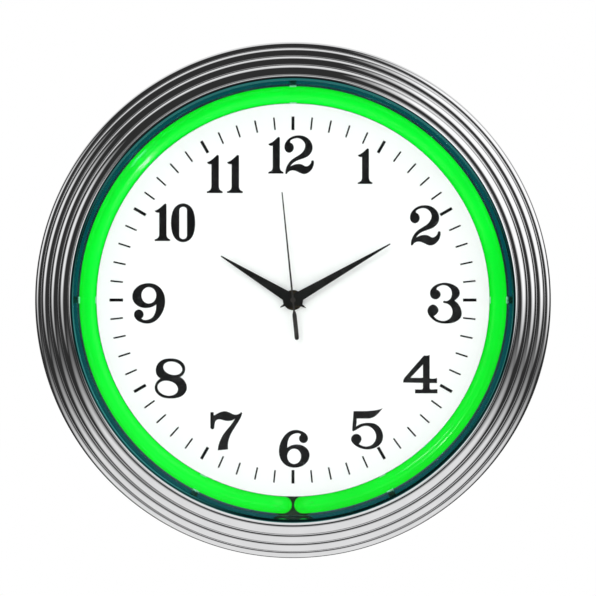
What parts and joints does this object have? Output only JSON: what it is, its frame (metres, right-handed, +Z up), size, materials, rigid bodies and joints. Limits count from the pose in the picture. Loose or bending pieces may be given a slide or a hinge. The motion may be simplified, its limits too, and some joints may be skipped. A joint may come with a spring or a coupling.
{
  "type": "wall clock",
  "caption": "Round wall clock with a stepped chrome bezel, a white dial with black numbers and hands, and a green neon ring.",
  "frame": {"origin": "middle of the hanger's keyhole, in the plane of the wall", "axes": "+Y into the wall, +Z up, the dial faces -Y, +X to the right as the dial is read"},
  "size_m": [0.381, 0.0756, 0.381],
  "materials": {
    "chrome": "mirror-bright plating",
    "clear_glass": "clear and polished",
    "black_rubber": "matte",
    "black_plastic": "fine moulded grain",
    "zinc_steel": "zinc plated",
    "mirror_band": "bright",
    "green_neon": "lit from inside",
    "electrode_glass": "clear, with a dark lining",
    "red_cap": "satin silicone",
    "clear_plastic": "clear",
    "supply_plastic": "moulded",
    "potting": "satin resin",
    "hv_sleeve": "satin silicone",
    "black_sleeve": "smooth",
    "red_sleeve": "smooth",
    "switch_plastic": "smooth",
    "nickel": "nickel plated",
    "white_dial": "satin white",
    "black_ink": "matte print",
    "movement_plastic": "moulded",
    "nylon": "natural nylon",
    "magnet": "satin",
    "brass": "turned",
    "copper": "enamelled winding",
    "stator_steel": "stamped",
    "board": "solder mask",
    "battery_sleeve": "printed sleeve",
    "black_hand": "matte black"
  },
  "bodies": {
    "clock": {"bezel_ring": "chrome", "lens": "clear_glass", "lens_gasket": "black_rubber", "lens_retainer": "black_plastic", "rear_housing": "black_plastic", "case_screws": "zinc_steel", "hanger_plate": "zinc_steel", "hanger_screws": "zinc_steel", "rear_bumpers": "black_rubber", "tube_channel": "mirror_band", "channel_screws": "zinc_steel", "neon_tube": "green_neon", "electrodes": "electrode_glass", "electrode_caps": "red_cap", "tube_grommet": "black_rubber", "tube_clips": "clear_plastic", "supply_case": "supply_plastic", "supply_core": "potting", "supply_screws": "zinc_steel", "hv_lead_left": "hv_sleeve", "hv_lead_right": "hv_sleeve", "switch_body": "switch_plastic", "switch_lugs": "nickel", "jack_body": "black_plastic", "jack_nut": "nickel", "jack_contacts": "nickel", "supply_lead": "black_sleeve", "switch_lead": "red_sleeve", "return_lead": "red_sleeve", "dial": "white_dial", "dial_ticks": "black_ink", "dial_numerals": "black_ink", "movement_case": "movement_plastic", "movement_back_cover": "movement_plastic", "train_bridge": "nylon", "stator": "stator_steel", "coil": "copper", "circuit_board": "board", "battery": "battery_sleeve", "battery_contacts": "nickel", "rubber_washer": "black_rubber", "brass_washer": "brass", "hex_nut": "brass"},
    "minute": {"centre_wheel": "nylon", "minute_hand": "black_hand"},
    "hour": {"hour_wheel": "nylon", "hour_hand": "black_hand"},
    "second": {"seconds_wheel": "nylon", "second_hand": "black_hand"},
    "third": {"third_wheel": "nylon"},
    "relay": {"relay_wheel": "nylon"},
    "rotor_body": {"rotor": "magnet"},
    "motion": {"motion_wheel": "nylon"},
    "knob": {"setting_knob": "movement_plastic"},
    "rocker": {"switch_rocker": "switch_plastic"}
  },
  "joints": [
    {"name": "minute_spin", "type": "hinge", "parent": "clock", "child": "minute", "pos_m": [0, -0.045, -0.14], "axis": [0, 1, 0], "continuous": true},
    {"name": "hour_spin", "type": "hinge", "parent": "clock", "child": "hour", "pos_m": [0, -0.049, -0.14], "axis": [0, 1, 0], "continuous": true},
    {"name": "second_spin", "type": "hinge", "parent": "clock", "child": "second", "pos_m": [0, -0.043, -0.14], "axis": [0, 1, 0], "continuous": true},
    {"name": "third_spin", "type": "hinge", "parent": "clock", "child": "third", "pos_m": [-0.00846, -0.043, -0.13692], "axis": [0, 1, 0], "continuous": true},
    {"name": "relay_spin", "type": "hinge", "parent": "clock", "child": "relay", "pos_m": [0.0035, -0.038, -0.13394], "axis": [0, 1, 0], "continuous": true},
    {"name": "rotor_spin", "type": "hinge", "parent": "clock", "child": "rotor_body", "pos_m": [0.00614, -0.038, -0.12937], "axis": [0, 1, 0], "continuous": true},
    {"name": "motion_spin", "type": "hinge", "parent": "clock", "child": "motion", "pos_m": [0.009, -0.047, -0.14], "axis": [0, 1, 0], "continuous": true},
    {"name": "knob_spin", "type": "hinge", "parent": "clock", "child": "knob", "pos_m": [0.018, -0.03, -0.14], "axis": [0, 1, 0], "continuous": true},
    {"name": "switch_rock", "type": "hinge", "parent": "clock", "child": "rocker", "pos_m": [0.15501, -0.018, -0.15864], "axis": [0, 1, 0], "range_deg": [0, 24]}
  ],
  "couplings": [
    {"joint": "hour_spin", "follows": "minute_spin", "ratio": 0.083333},
    {"joint": "second_spin", "follows": "minute_spin", "ratio": 60},
    {"joint": "third_spin", "follows": "minute_spin", "ratio": -8},
    {"joint": "relay_spin", "follows": "minute_spin", "ratio": -360},
    {"joint": "rotor_spin", "follows": "minute_spin", "ratio": 1800},
    {"joint": "motion_spin", "follows": "minute_spin", "ratio": -0.33333},
    {"joint": "knob_spin", "follows": "minute_spin", "ratio": 1}
  ]
}
